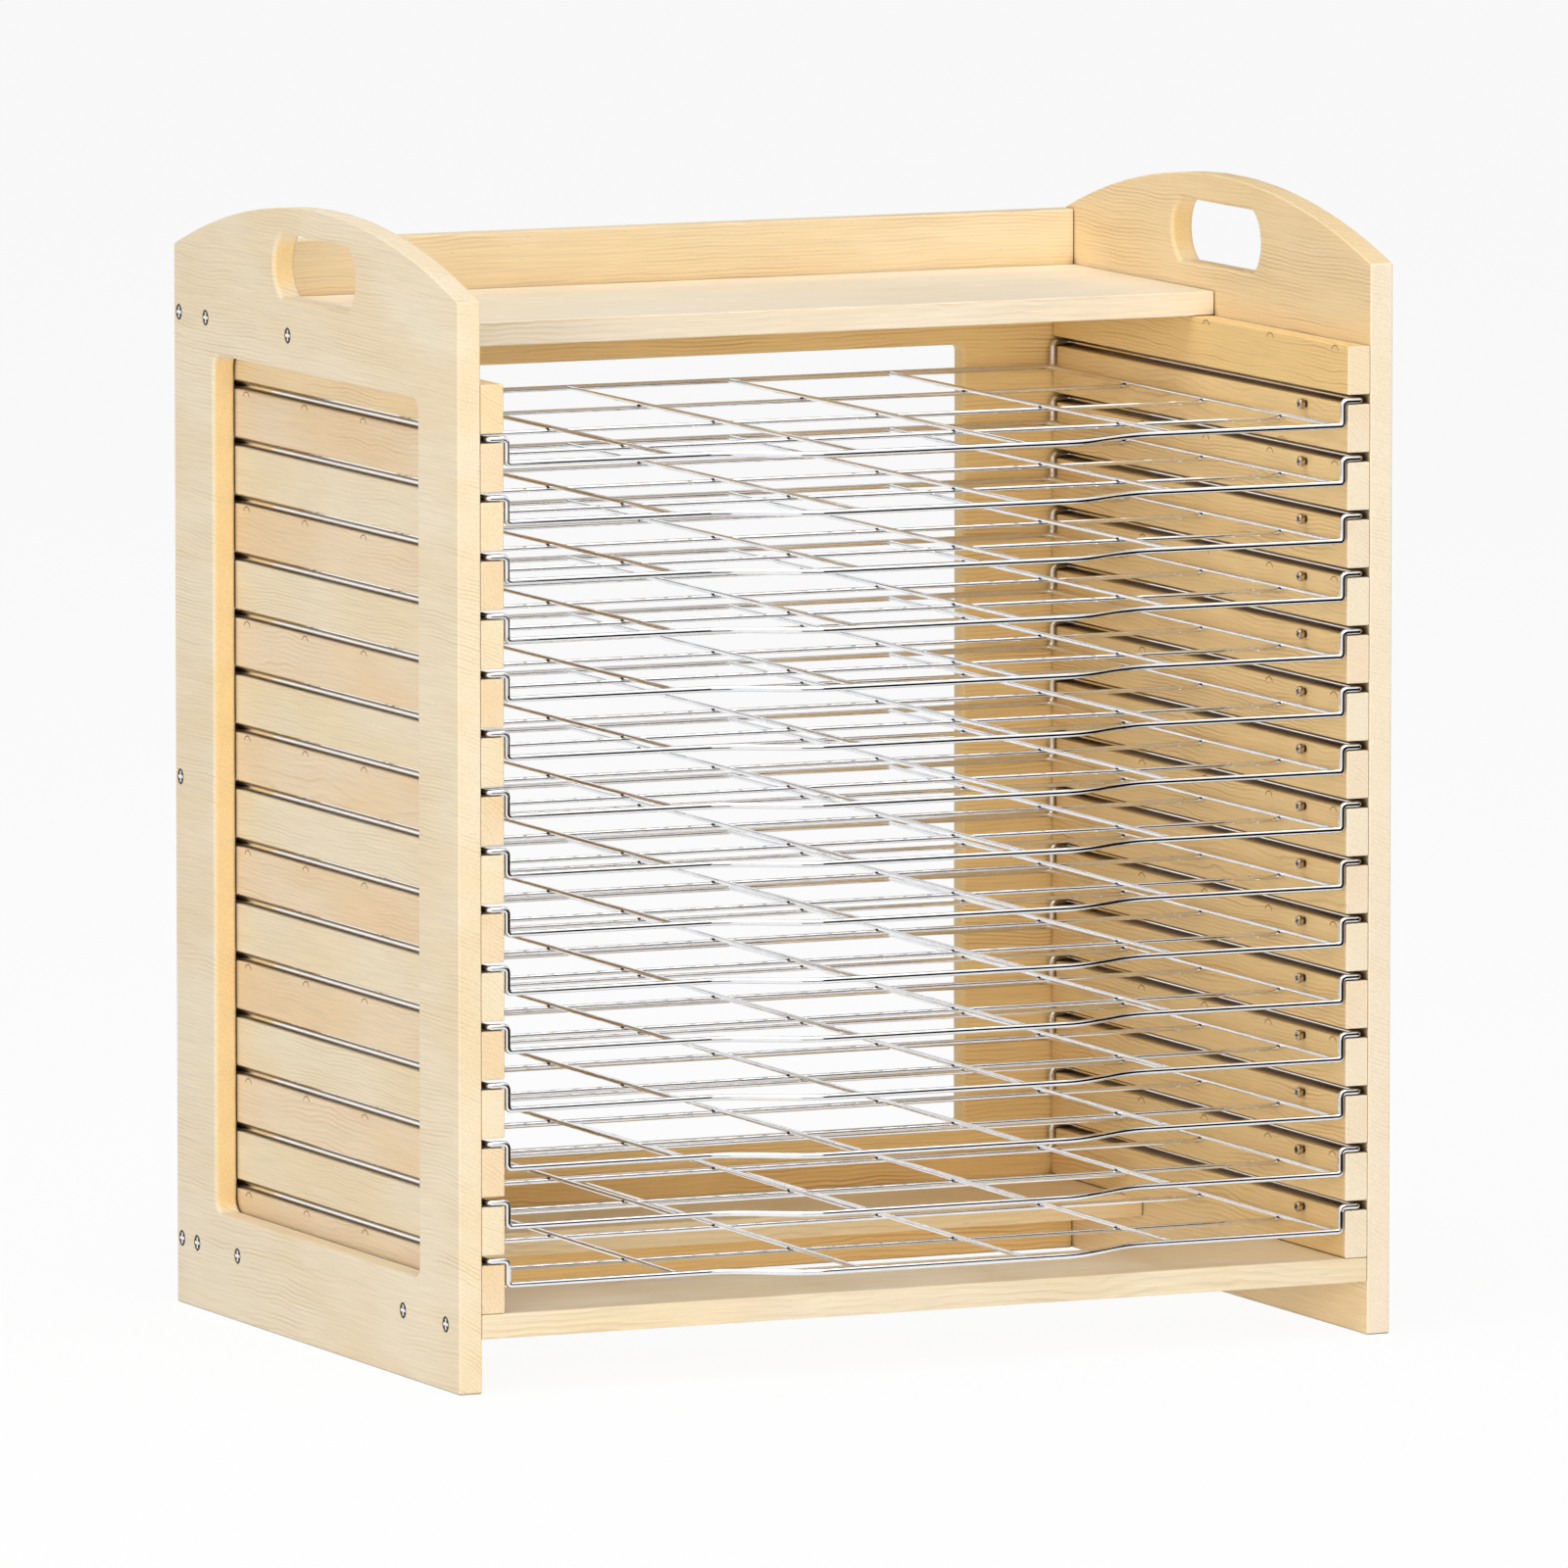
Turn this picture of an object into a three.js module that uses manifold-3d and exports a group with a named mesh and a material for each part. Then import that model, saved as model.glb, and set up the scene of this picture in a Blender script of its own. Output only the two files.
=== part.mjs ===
// Art drying rack: a wooden frame whose slatted sides carry a stack of sliding wire trays.
// Millimetres, +Z up, the front faces -Y. The origin is at the bottom centre of the whole rack.
import * as THREE from "three";
import { mergeVertices } from "three/addons/utils/BufferGeometryUtils.js";
import Module from "manifold-3d";

const wasm = await Module();
wasm.setup();

// Boards
const boardThickness = 12.7; // every board and slat is cut from half-inch stock
const bondLine = 0.1; // glue line between boards that meet

// The frame
const rackWidth = 527; // over the two side panels
const panelDepth = 370; // side panels, front edge to rear edge
const footClearance = 28; // floor to the underside of the bottom rails
const bottomRailDepth = 87.5; // front and rear bottom rails, laid flat
const galleryHeight = 29.4; // back panel above the shelf top, level with the panel shoulders
const shelfDepth = 172; // top shelf, from the back panel forward

// Side panels
const archRise = 31.5; // arched top above the shoulders
const panelStile = 52; // wood in front of and behind the window
const panelRail = 54; // wood below the window and between it and the shoulder line
const windowRadius = 7; // window corners
const handleLength = 106; // hand slot, tip to tip
const handleHeight = 33;
const handleEndBulge = 10; // how far the slot's ends bow out past its straight edges

// Back panel
const backStile = 65; // wood at each side of the back window
const backRail = 70; // wood above and below the back window
const backWindowRadius = 4;

// Slats and the slots between them
const trayCount = 15;
const slatHeight = 25;
const railRunningGap = 0.3; // tray rail above the slat that it slides on
const railHeadroom = 1.5; // tray rail below the slat above it

// Stop screws, near the front of each slat that a tray runs on
const stopSetback = 49.5; // from the front faces
const stopBelowEdge = 1.1; // top of the head below the slat's top edge
const stopHeadDiameter = 5.4;
const stopProjection = 4.5; // head beyond the slat's inner face
const stopHeadChamfer = 0.9;
const stopSides = 6;

// Wire trays
const frameWire = 3.2; // diameter of the frame wire
const gridWire = 2.4; // diameter of the depth and cross wires
const frameSides = 6;
const gridSides = 6;
const bendRadius = 3; // centre line of the frame wire
const stopClearance = 3.2; // outermost depth wires below the stop screws
const railClearance = 2.7; // rail to the side panel, inside the slot
const riserGap = 0.6; // riser to the slat's inner face
const trayRearGap = 3.4; // rear wire to the back panel
const pullReach = 22; // finger pull, forward of the straight front wire
const pullWidth = 134; // straight middle of the finger pull
const pullBendLength = 57; // each S-bend of the finger pull, across the rack
const pullBendSteps = 4;
const depthWireCount = 6;
const edgeWireInset = 1.9; // outermost depth wires, inside the risers
const crossPitch = 94; // cross wires, counted forward from the rear wire
const crossWireOverhang = 1; // cross wire past the outermost depth wires
const weldSink = 0.3; // how far crossing wires sink into each other

// Derived places, with the front faces of the frame at y = 0
const panelInner = rackWidth / 2 - boardThickness;
const slatOuter = panelInner - bondLine;
const slatInner = slatOuter - boardThickness;
const backFront = panelDepth - boardThickness;
const boardRear = backFront - bondLine; // rear ends of what butts against the back panel
const railTop = footClearance + boardThickness;
const slotHeight = railRunningGap + frameWire + railHeadroom;
const slatPitch = slatHeight + slotHeight;
const slatCount = trayCount + 1;
const stackBottom = railTop + bondLine;
const stackTop = stackBottom + slatCount * slatHeight + trayCount * slotHeight;
const shelfBottom = stackTop + bondLine;
const shelfTop = shelfBottom + boardThickness;
const shoulderHeight = shelfTop + galleryHeight;
const slatTop = (number) => stackTop - (number - 1) * slatPitch; // slats count from the top
const wireRadius = frameWire / 2;
const gridRadius = gridWire / 2;
const stopReach = stopBelowEdge + stopHeadDiameter; // underside of the stop screws, below the slat's top edge
const trayDrop = wireRadius + railRunningGap + stopReach + stopClearance + gridRadius; // tray plane below the rails
const frontWireY = wireRadius; // straight front wire, flush with the front faces
const rearWireY = backFront - trayRearGap - wireRadius;
const pullY = frontWireY - pullReach;
const railX = panelInner - railClearance - wireRadius;
const riserX = slatInner - riserGap - wireRadius;
const edgeWireX = riserX - edgeWireInset;
const crossWireCount = Math.floor((rearWireY - frontWireY) / crossPitch);
const frontmost = Math.min(0, pullY - wireRadius);

// Materials
const basswood = new THREE.MeshStandardMaterial({ color: 0xe8d2a8, roughness: 0.62, metalness: 0 });
const basswoodWarm = new THREE.MeshStandardMaterial({ color: 0xe6c998, roughness: 0.62, metalness: 0 });
const chrome = new THREE.MeshStandardMaterial({ color: 0xd8dadd, roughness: 0.12, metalness: 1 });

// A closed geometry as a solid that can be joined, and back again.
function solidOf(geometry) {
  const bare = geometry.clone();
  bare.deleteAttribute("normal");
  bare.deleteAttribute("uv");
  const merged = mergeVertices(bare, 1e-4);
  const vertProperties = new Float32Array(merged.attributes.position.array);
  const triVerts = new Uint32Array(merged.index.array);
  return new wasm.Manifold(new wasm.Mesh({ numProp: 3, vertProperties, triVerts }));
}

function geometryOf(solid) {
  const mesh = solid.getMesh();
  const geometry = new THREE.BufferGeometry();
  geometry.setAttribute("position", new THREE.BufferAttribute(new Float32Array(mesh.vertProperties), 3));
  geometry.setIndex(new THREE.BufferAttribute(new Uint32Array(mesh.triVerts), 1));
  geometry.computeVertexNormals();
  return geometry;
}

// A plain board between two corners.
function board(x0, x1, y0, y1, z0, z1) {
  const box = new THREE.BoxGeometry(x1 - x0, y1 - y0, z1 - z0);
  return box.translate((x0 + x1) / 2, (y0 + y1) / 2, (z0 + z1) / 2);
}

function arc(centreX, centreY, radius, from, to, steps) {
  const curve = new THREE.EllipseCurve(centreX, centreY, radius, radius, from, to, to < from);
  return curve.getPoints(steps);
}

function roundedRectangle(x0, y0, x1, y1, radius) {
  const cornerSteps = 3;
  const quarter = Math.PI / 2;
  const corners = [
    [x1 - radius, y0 + radius, -quarter],
    [x1 - radius, y1 - radius, 0],
    [x0 + radius, y1 - radius, quarter],
    [x0 + radius, y0 + radius, 2 * quarter],
  ];
  return corners.flatMap(([x, y, from]) => arc(x, y, radius, from, from + quarter, cornerSteps));
}

// The hand slot: straight long edges, and ends that bow out as shallow arcs.
function handSlot(centreX, centreY) {
  const endSteps = 6;
  const half = handleHeight / 2;
  const radius = (half * half + handleEndBulge * handleEndBulge) / (2 * handleEndBulge);
  const reach = Math.asin(half / radius);
  const arcCentre = handleLength / 2 - radius;
  return [
    ...arc(centreX + arcCentre, centreY, radius, -reach, reach, endSteps),
    ...arc(centreX - arcCentre, centreY, radius, Math.PI - reach, Math.PI + reach, endSteps),
  ];
}

// A side panel, drawn in depth and height and extruded across its thickness from x.
function sidePanel(x) {
  const archSteps = 16;
  const half = panelDepth / 2;
  const archRadius = (half * half + archRise * archRise) / (2 * archRise);
  const archReach = Math.asin(half / archRadius);
  const archCentre = shoulderHeight + archRise - archRadius;
  const upright = Math.PI / 2;
  const outline = new THREE.Shape([
    new THREE.Vector2(0, 0),
    new THREE.Vector2(panelDepth, 0),
    ...arc(half, archCentre, archRadius, upright - archReach, upright + archReach, archSteps),
  ]);
  const windowTop = shoulderHeight - panelRail;
  const windowRear = panelDepth - panelStile;
  outline.holes.push(new THREE.Path(roundedRectangle(panelStile, panelRail, windowRear, windowTop, windowRadius)));
  outline.holes.push(new THREE.Path(handSlot(half, shoulderHeight)));
  const panel = new THREE.ExtrudeGeometry(outline, { depth: boardThickness, bevelEnabled: false });
  const depthHeightAcross = new THREE.Matrix4().makeBasis(
    new THREE.Vector3(0, 1, 0),
    new THREE.Vector3(0, 0, 1),
    new THREE.Vector3(1, 0, 0),
  );
  return panel.applyMatrix4(depthHeightAcross).translate(x, 0, 0);
}

// The back panel, drawn in width and height and extruded from the rear towards the front.
function backPanel() {
  const half = panelInner - bondLine;
  const outline = new THREE.Shape([
    new THREE.Vector2(-half, 0),
    new THREE.Vector2(half, 0),
    new THREE.Vector2(half, shoulderHeight),
    new THREE.Vector2(-half, shoulderHeight),
  ]);
  const windowHalf = half - backStile;
  const windowTop = shoulderHeight - backRail;
  outline.holes.push(
    new THREE.Path(roundedRectangle(-windowHalf, backRail, windowHalf, windowTop, backWindowRadius)),
  );
  const panel = new THREE.ExtrudeGeometry(outline, { depth: boardThickness, bevelEnabled: false });
  return panel.rotateX(Math.PI / 2).translate(0, panelDepth, 0);
}

function crossBoard(y0, y1, z0) {
  const half = panelInner - bondLine;
  return board(-half, half, y0, y1, z0, z0 + boardThickness);
}

// A stop screw's head on the inner face of a slat, pointing in from the given side.
function stopScrew(side, axisHeight) {
  const radius = stopHeadDiameter / 2;
  const seat = boardThickness / 2; // the shank end, inside the slat
  const profile = [
    new THREE.Vector2(0, -seat),
    new THREE.Vector2(radius, -seat),
    new THREE.Vector2(radius, stopProjection - stopHeadChamfer),
    new THREE.Vector2(radius - stopHeadChamfer, stopProjection),
    new THREE.Vector2(0, stopProjection),
  ];
  const screw = new THREE.LatheGeometry(profile, stopSides);
  screw.rotateZ((side * Math.PI) / 2);
  return screw.translate(side * slatInner, stopSetback, axisHeight);
}

// A slat on one side; each one below a slot carries that tray's stop screw.
function slat(side, number) {
  const top = slatTop(number);
  const x = [side * slatInner, side * slatOuter].sort((a, b) => a - b);
  const plain = board(x[0], x[1], 0, boardRear, top - slatHeight, top);
  if (number === 1) return plain;
  const withStop = solidOf(plain).add(solidOf(stopScrew(side, top - stopBelowEdge - stopHeadDiameter / 2)));
  return geometryOf(withStop);
}

// The tangent polygon of a round bend at a corner of the wire, two points for each right angle.
function bend(before, corner, after) {
  const cut = bendRadius * (1 - Math.tan(Math.PI / 8));
  return [before, after].map((point) => {
    const along = point.clone().sub(corner).normalize();
    return corner.clone().addScaledVector(along, cut);
  });
}

// A closed wire: a regular section swept round a loop of points and mitred at each of them.
function closedWire(loop, radius, sides) {
  const direction = loop.map((point, i) => loop[(i + 1) % loop.length].clone().sub(point).normalize());
  let across = new THREE.Vector3(0, 0, 1).cross(direction.at(-1)).normalize();
  let up = direction.at(-1).clone().cross(across);
  const vertices = [];
  loop.forEach((point, i) => {
    const arriving = direction.at(i - 1);
    const leaving = direction[i];
    const mitre = arriving.clone().add(leaving).normalize();
    for (let side = 0; side < sides; side++) {
      const angle = (2 * Math.PI * side) / sides;
      const offset = across.clone().multiplyScalar(radius * Math.cos(angle));
      offset.addScaledVector(up, radius * Math.sin(angle));
      offset.addScaledVector(arriving, -offset.dot(mitre) / arriving.dot(mitre));
      vertices.push(point.clone().add(offset));
    }
    const turn = new THREE.Quaternion().setFromUnitVectors(arriving, leaving);
    across = across.applyQuaternion(turn);
    up = up.applyQuaternion(turn);
  });
  const index = [];
  loop.forEach((_, ring) => {
    const next = (ring + 1) % loop.length;
    for (let side = 0; side < sides; side++) {
      const a = ring * sides + side;
      const b = ring * sides + ((side + 1) % sides);
      const c = next * sides + side;
      const d = next * sides + ((side + 1) % sides);
      index.push(a, b, c, b, d, c);
    }
  });
  return new THREE.BufferGeometry().setFromPoints(vertices).setIndex(index);
}

const at = (x, y, z) => new THREE.Vector3(x, y, z);

// The finger pull: the stretch of the front wire that bows forward, from its left S-bend to its right.
function fingerPull(height) {
  const inner = pullWidth / 2;
  const outer = inner + pullBendLength;
  const third = pullBendLength / 3;
  const left = new THREE.CubicBezierCurve3(
    at(-outer, frontWireY, height),
    at(third - outer, frontWireY, height),
    at(-inner - third, pullY, height),
    at(-inner, pullY, height),
  ).getPoints(pullBendSteps);
  const right = left.map((point) => at(-point.x, point.y, point.z)).reverse();
  return [...left, ...right];
}

// The frame wire's loop: rails in the slots, jogs and risers down to the tray plane, the front
// wire with its pull, and the rear wire. The front corners are bent round, those at the rear mitred.
function frameLoop(railHeight, pull) {
  const plane = railHeight - trayDrop;
  const front = [
    at(-railX, frontWireY, railHeight),
    at(-riserX, frontWireY, railHeight),
    at(-riserX, frontWireY, plane),
    at(riserX, frontWireY, plane),
    at(riserX, frontWireY, railHeight),
    at(railX, frontWireY, railHeight),
  ];
  const rear = front.map((point) => at(point.x, rearWireY, point.z)).reverse();
  const corners = [...front, ...rear];
  const bentFront = front.map((corner, i) => bend(corners.at(i - 1), corner, corners[i + 1]));
  const leftBends = front.length / 2; // the front wire starts after the left jog and riser
  return [...bentFront.toSpliced(leftBends, 0, pull).flat(), ...rear];
}

// A straight wire of the grid, with a ridge on top and below so that crossing wires meet at points.
function depthWire(x, y0, y1, height) {
  const wire = new THREE.CylinderGeometry(gridRadius, gridRadius, y1 - y0, gridSides);
  return wire.translate(x, (y0 + y1) / 2, height);
}

function crossWire(y, halfLength, height) {
  const wire = new THREE.CylinderGeometry(gridRadius, gridRadius, 2 * halfLength, gridSides);
  return wire.rotateZ(Math.PI / 2).translate(0, y, height);
}

// Where the front wire runs at a given x: on the pull or, beside it, straight across.
function frontWireAt(x, pull) {
  const end = pull.findIndex((point) => point.x > x);
  if (end < 1) return frontWireY;
  const [from, to] = [pull[end - 1], pull[end]];
  return THREE.MathUtils.mapLinear(x, from.x, to.x, from.y, to.y);
}

// One welded tray: the frame wire, depth wires between its front and rear, cross wires beneath.
function wireTray(number) {
  const railHeight = slatTop(number + 1) + railRunningGap + wireRadius;
  const plane = railHeight - trayDrop;
  const pull = fingerPull(plane);
  let tray = solidOf(closedWire(frameLoop(railHeight, pull), wireRadius, frameSides));
  for (let i = 0; i < depthWireCount; i++) {
    const x = edgeWireX * ((2 * i) / (depthWireCount - 1) - 1);
    tray = tray.add(solidOf(depthWire(x, frontWireAt(x, pull), rearWireY, plane)));
  }
  for (let i = 1; i <= crossWireCount; i++) {
    const y = rearWireY - i * crossPitch;
    const halfLength = edgeWireX + crossWireOverhang;
    tray = tray.add(solidOf(crossWire(y, halfLength, plane - gridWire + weldSink)));
  }
  return geometryOf(tray);
}

const group = new THREE.Group();
group.position.y = -(panelDepth + frontmost) / 2;

function addPiece(name, geometry, material) {
  const mesh = new THREE.Mesh(geometry, material);
  mesh.name = name;
  group.add(mesh);
}

addPiece("left_side_panel", sidePanel(-rackWidth / 2), basswood);
addPiece("right_side_panel", sidePanel(panelInner), basswood);
addPiece("back_panel", backPanel(), basswood);
addPiece("top_shelf", crossBoard(boardRear - shelfDepth, boardRear, shelfBottom), basswood);
addPiece("front_bottom_rail", crossBoard(0, bottomRailDepth, footClearance), basswood);
addPiece("rear_bottom_rail", crossBoard(boardRear - bottomRailDepth, boardRear, footClearance), basswood);

const twoDigits = (number) => String(number).padStart(2, "0");
for (let number = 1; number <= slatCount; number++) {
  const tone = number % 2 ? basswood : basswoodWarm;
  addPiece(`left_slat_${twoDigits(number)}`, slat(-1, number), tone);
  addPiece(`right_slat_${twoDigits(number)}`, slat(1, number), tone);
}
for (let number = 1; number <= trayCount; number++) {
  addPiece(`wire_tray_${twoDigits(number)}`, wireTray(number), chrome);
}

export default group;
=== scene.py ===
import math

import bpy
from mathutils import Matrix, Vector
from mathutils.geometry import tessellate_polygon


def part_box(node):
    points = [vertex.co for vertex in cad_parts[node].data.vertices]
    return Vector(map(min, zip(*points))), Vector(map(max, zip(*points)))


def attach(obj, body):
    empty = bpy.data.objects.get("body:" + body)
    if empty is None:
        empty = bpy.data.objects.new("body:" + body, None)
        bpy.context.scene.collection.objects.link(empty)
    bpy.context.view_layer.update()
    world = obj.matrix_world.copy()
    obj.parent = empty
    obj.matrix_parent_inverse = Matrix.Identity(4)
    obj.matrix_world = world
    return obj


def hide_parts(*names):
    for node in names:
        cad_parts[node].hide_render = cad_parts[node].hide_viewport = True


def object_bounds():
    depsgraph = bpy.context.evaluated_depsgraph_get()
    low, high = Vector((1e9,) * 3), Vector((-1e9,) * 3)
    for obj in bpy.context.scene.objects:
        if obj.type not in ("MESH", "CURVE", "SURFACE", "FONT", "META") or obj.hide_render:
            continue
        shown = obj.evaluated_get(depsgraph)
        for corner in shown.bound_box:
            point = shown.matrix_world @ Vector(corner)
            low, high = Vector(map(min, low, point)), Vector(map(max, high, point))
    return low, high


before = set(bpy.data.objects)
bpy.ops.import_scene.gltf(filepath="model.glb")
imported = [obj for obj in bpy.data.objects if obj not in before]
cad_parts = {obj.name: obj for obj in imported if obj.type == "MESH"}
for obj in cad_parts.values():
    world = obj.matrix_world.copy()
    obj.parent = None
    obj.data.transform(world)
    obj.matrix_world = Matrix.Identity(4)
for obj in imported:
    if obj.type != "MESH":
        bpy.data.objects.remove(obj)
cadLow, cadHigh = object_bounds()
mm = 0.001
print("frame loaded with", len(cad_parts), "nodes")


# meshes are gathered as points, faces and one normal for each face corner
def newParts():
    return {"points": [], "faces": [], "normals": [], "finishes": []}


def addPoints(parts, points):
    first = len(parts["points"])
    parts["points"].extend(Vector(p) for p in points)
    return list(range(first, first + len(points)))


def addFace(parts, corners, normals, finish=0):
    parts["faces"].append(tuple(corners))
    parts["normals"].extend(normals)
    parts["finishes"].append(finish)


def flatNormal(parts, corners):
    a, b, c = (parts["points"][i] for i in corners[:3])
    return (b - a).cross(c - a).normalized()


# quads between rings of (point indices, normals), each ring running anticlockwise seen from outside its end
def joinRings(parts, rings, closed=False, finish=0):
    pairs = list(zip(rings, rings[1:]))
    if closed:
        pairs.append((rings[-1], rings[0]))
    for (low, lowNormals), (high, highNormals) in pairs:
        count = len(low)
        for i in range(count):
            j = (i + 1) % count
            corners = (low[i], low[j], high[j], high[i])
            normals = (lowNormals[i], lowNormals[j], highNormals[j], highNormals[i])
            addFace(parts, corners, normals, finish)


def makeObject(name, parts, materials, place=None, data=None):
    if data is None:
        data = bpy.data.meshes.new(name)
        data.from_pydata(parts["points"], [], parts["faces"])
        data.polygons.foreach_set("use_smooth", [True] * len(parts["faces"]))
        data.polygons.foreach_set("material_index", parts["finishes"])
        data.normals_split_custom_set(parts["normals"])
        for material in materials:
            data.materials.append(material)
        data.update()
    made = bpy.data.objects.new(name, data)
    made.matrix_world = place or Matrix.Identity(4)
    bpy.context.scene.collection.objects.link(made)
    return made


# outlines are lists of (u, v, normal u, normal v), anticlockwise round the wood
def arcPoints(centreU, centreV, radius, start, end, steps):
    angles = [start + (end - start) * i / steps for i in range(steps + 1)]
    return [(centreU + radius * math.cos(a), centreV + radius * math.sin(a)) for a in angles]


def softOutline(corners, radius, steps=4, sharpest=math.radians(20)):
    outline = []
    count = len(corners)
    for i in range(count):
        before, corner, after = (Vector(corners[k % count]) for k in (i - 1, i, i + 1))
        arriving, leaving = (corner - before).normalized(), (after - corner).normalized()
        turn = math.atan2(arriving.x * leaving.y - arriving.y * leaving.x, arriving.dot(leaving))
        heading = math.atan2(-arriving.x, arriving.y)  # the outward normal's angle on the way in
        if turn < sharpest:
            middle = heading + turn / 2
            outline.append((corner.x, corner.y, math.cos(middle), math.sin(middle)))
            continue
        start = corner - arriving * radius * math.tan(turn / 2)
        centre = start - Vector((math.cos(heading), math.sin(heading))) * radius
        for k in range(steps + 1):
            angle = heading + turn * k / steps
            u, v = math.cos(angle), math.sin(angle)
            outline.append((centre.x + radius * u, centre.y + radius * v, u, v))
    return outline


def rectangle(width, height, radius, u=0, v=0, steps=4):
    return softOutline([(u, v), (u + width, v), (u + width, v + height), (u, v + height)], radius, steps)


def circle(radius, steps, u=0, v=0):
    angles = [2 * math.pi * i / steps for i in range(steps)]
    return [(u + radius * math.cos(a), v + radius * math.sin(a), math.cos(a), math.sin(a)) for a in angles]


def asHole(outline):
    return [(u, v, -nu, -nv) for u, v, nu, nv in reversed(outline)]


# a cross for the recess of a screw, as plain corner points
def crossOutline(reach, halfArm):
    corner = [(reach, -halfArm), (reach, halfArm), (halfArm, halfArm)]
    turned = []
    for quarter in range(4):
        c, s = round(math.cos(quarter * math.pi / 2)), round(math.sin(quarter * math.pi / 2))
        turned.extend((u * c - v * s, u * s + v * c, 0, 0) for u, v in corner)
    return turned


# a board with rounded edges: loops of {"outline", "edge"} through it, and blind pockets in either face
def addBoard(parts, loops, thickness, pockets=(), edgeSteps=4, place=None):
    place = place or Matrix.Identity(4)
    turn = place.to_3x3()
    caps = {"low": [], "high": []}
    for loop in loops:
        radius = loop["edge"]
        rings = []
        for side, sign in (("low", -1), ("high", 1)):
            sideRings = []
            for k in range(edgeSteps + 1):
                angle = math.pi / 2 * k / edgeSteps
                inset, depth = radius * (1 - math.sin(angle)), radius * (1 - math.cos(angle))
                w = depth if side == "low" else thickness - depth
                points = [place @ Vector((u - nu * inset, v - nv * inset, w)) for u, v, nu, nv in loop["outline"]]
                across, along = math.cos(angle) * sign, math.sin(angle)
                normals = [turn @ Vector((nu * along, nv * along, across)) for _, _, nu, nv in loop["outline"]]
                sideRings.append((addPoints(parts, points), normals))
            flat = [(u - nu * radius, v - nv * radius) for u, v, nu, nv in loop["outline"]]
            caps[side].append((flat, sideRings[0][0]))
            rings.extend(sideRings if side == "low" else reversed(sideRings))
        joinRings(parts, rings)
    for pocket in pockets:
        side = pocket["side"]
        hole = [(u, v) for u, v, _, _ in asHole(pocket["outline"])]
        u0 = sum(u for u, _ in hole) / len(hole)
        v0 = sum(v for _, v in hole) / len(hole)
        floor = [(u0 + (u - u0) * pocket["taper"], v0 + (v - v0) * pocket["taper"]) for u, v in hole]
        faceW = 0 if side == "low" else thickness
        floorW = pocket["depth"] if side == "low" else thickness - pocket["depth"]
        mouth = addPoints(parts, [place @ Vector((u, v, faceW)) for u, v in hole])
        bottom = addPoints(parts, [place @ Vector((u, v, floorW)) for u, v in floor])
        caps[side].append((hole, mouth))
        low, high = (mouth, bottom) if side == "low" else (bottom, mouth)
        for i in range(len(hole)):
            j = (i + 1) % len(hole)
            corners = (low[i], low[j], high[j], high[i])
            addFace(parts, corners, [flatNormal(parts, corners)] * 4, pocket["finish"])
        facing = bottom if side == "low" else list(reversed(bottom))
        normal = turn @ Vector((0, 0, -1 if side == "low" else 1))
        addFace(parts, facing, [normal] * len(facing), pocket["finish"])
    for side, sign in (("low", -1), ("high", 1)):
        flat = [[Vector((u, v, 0)) for u, v in loop] for loop, _ in caps[side]]
        points = [p for loop in flat for p in loop]
        indices = [i for _, ring in caps[side] for i in ring]
        normal = turn @ Vector((0, 0, sign))
        for a, b, c in tessellate_polygon(flat):
            area = (points[b] - points[a]).cross(points[c] - points[a]).z
            corners = (a, b, c) if area * sign > 0 else (a, c, b)
            addFace(parts, [indices[i] for i in corners], [normal] * 3)


# a round wire along a path, with domed ends unless it closes on itself
def addWire(parts, path, radius, sides, closed=False, domeSteps=3):
    count = len(path)
    ways = [(path[(i + 1) % count] - path[i]).normalized() for i in range(count if closed else count - 1)]
    tangents = []
    for i in range(count):
        before = ways[i - 1] if closed or i > 0 else ways[0]
        after = ways[i] if closed or i < count - 1 else ways[-1]
        tangents.append((before + after).normalized())
    across = tangents[0].orthogonal().normalized()
    frames = [across]
    for before, after in zip(tangents, tangents[1:]):
        across = before.rotation_difference(after) @ across
        frames.append(across)
    twist = 0
    if closed:  # the turn that is left over at the end is shared out along the wire
        back = tangents[-1].rotation_difference(tangents[0]) @ across
        twist = math.atan2(back.cross(frames[0]).dot(tangents[0]), back.dot(frames[0]))
    rings = []

    def ring(centre, tangent, start, size, lean):
        up = tangent.cross(start)
        spokes = []
        for k in range(sides):
            angle = 2 * math.pi * k / sides
            spokes.append(start * math.cos(angle) + up * math.sin(angle))
        points = addPoints(parts, [centre + spoke * size for spoke in spokes])
        rings.append((points, [(spoke + tangent * lean).normalized() for spoke in spokes]))

    if not closed:
        for k in range(domeSteps):
            angle = math.pi / 2 * (k + 0.5) / (domeSteps + 0.5)
            reach, size = radius * math.cos(angle), radius * math.sin(angle)
            ring(path[0] - tangents[0] * (reach - radius), tangents[0], frames[0], size, -1 / math.tan(angle))
    for i in range(count):
        shift = Vector((0, 0, 0))
        if not closed and i in (0, count - 1):
            shift = tangents[i] * radius * (1 if i == 0 else -1)
        start = Matrix.Rotation(twist * i / count, 3, tangents[i]) @ frames[i]
        ring(path[i] + shift, tangents[i], start, radius, 0)
    if not closed:
        for k in reversed(range(domeSteps)):
            angle = math.pi / 2 * (k + 0.5) / (domeSteps + 0.5)
            reach, size = radius * math.cos(angle), radius * math.sin(angle)
            ring(path[-1] + tangents[-1] * (reach - radius), tangents[-1], frames[-1], size, 1 / math.tan(angle))
    joinRings(parts, rings, closed)
    if not closed:
        addFace(parts, list(reversed(rings[0][0])), [-tangents[0]] * sides)
        addFace(parts, rings[-1][0], [tangents[-1]] * sides)


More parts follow.
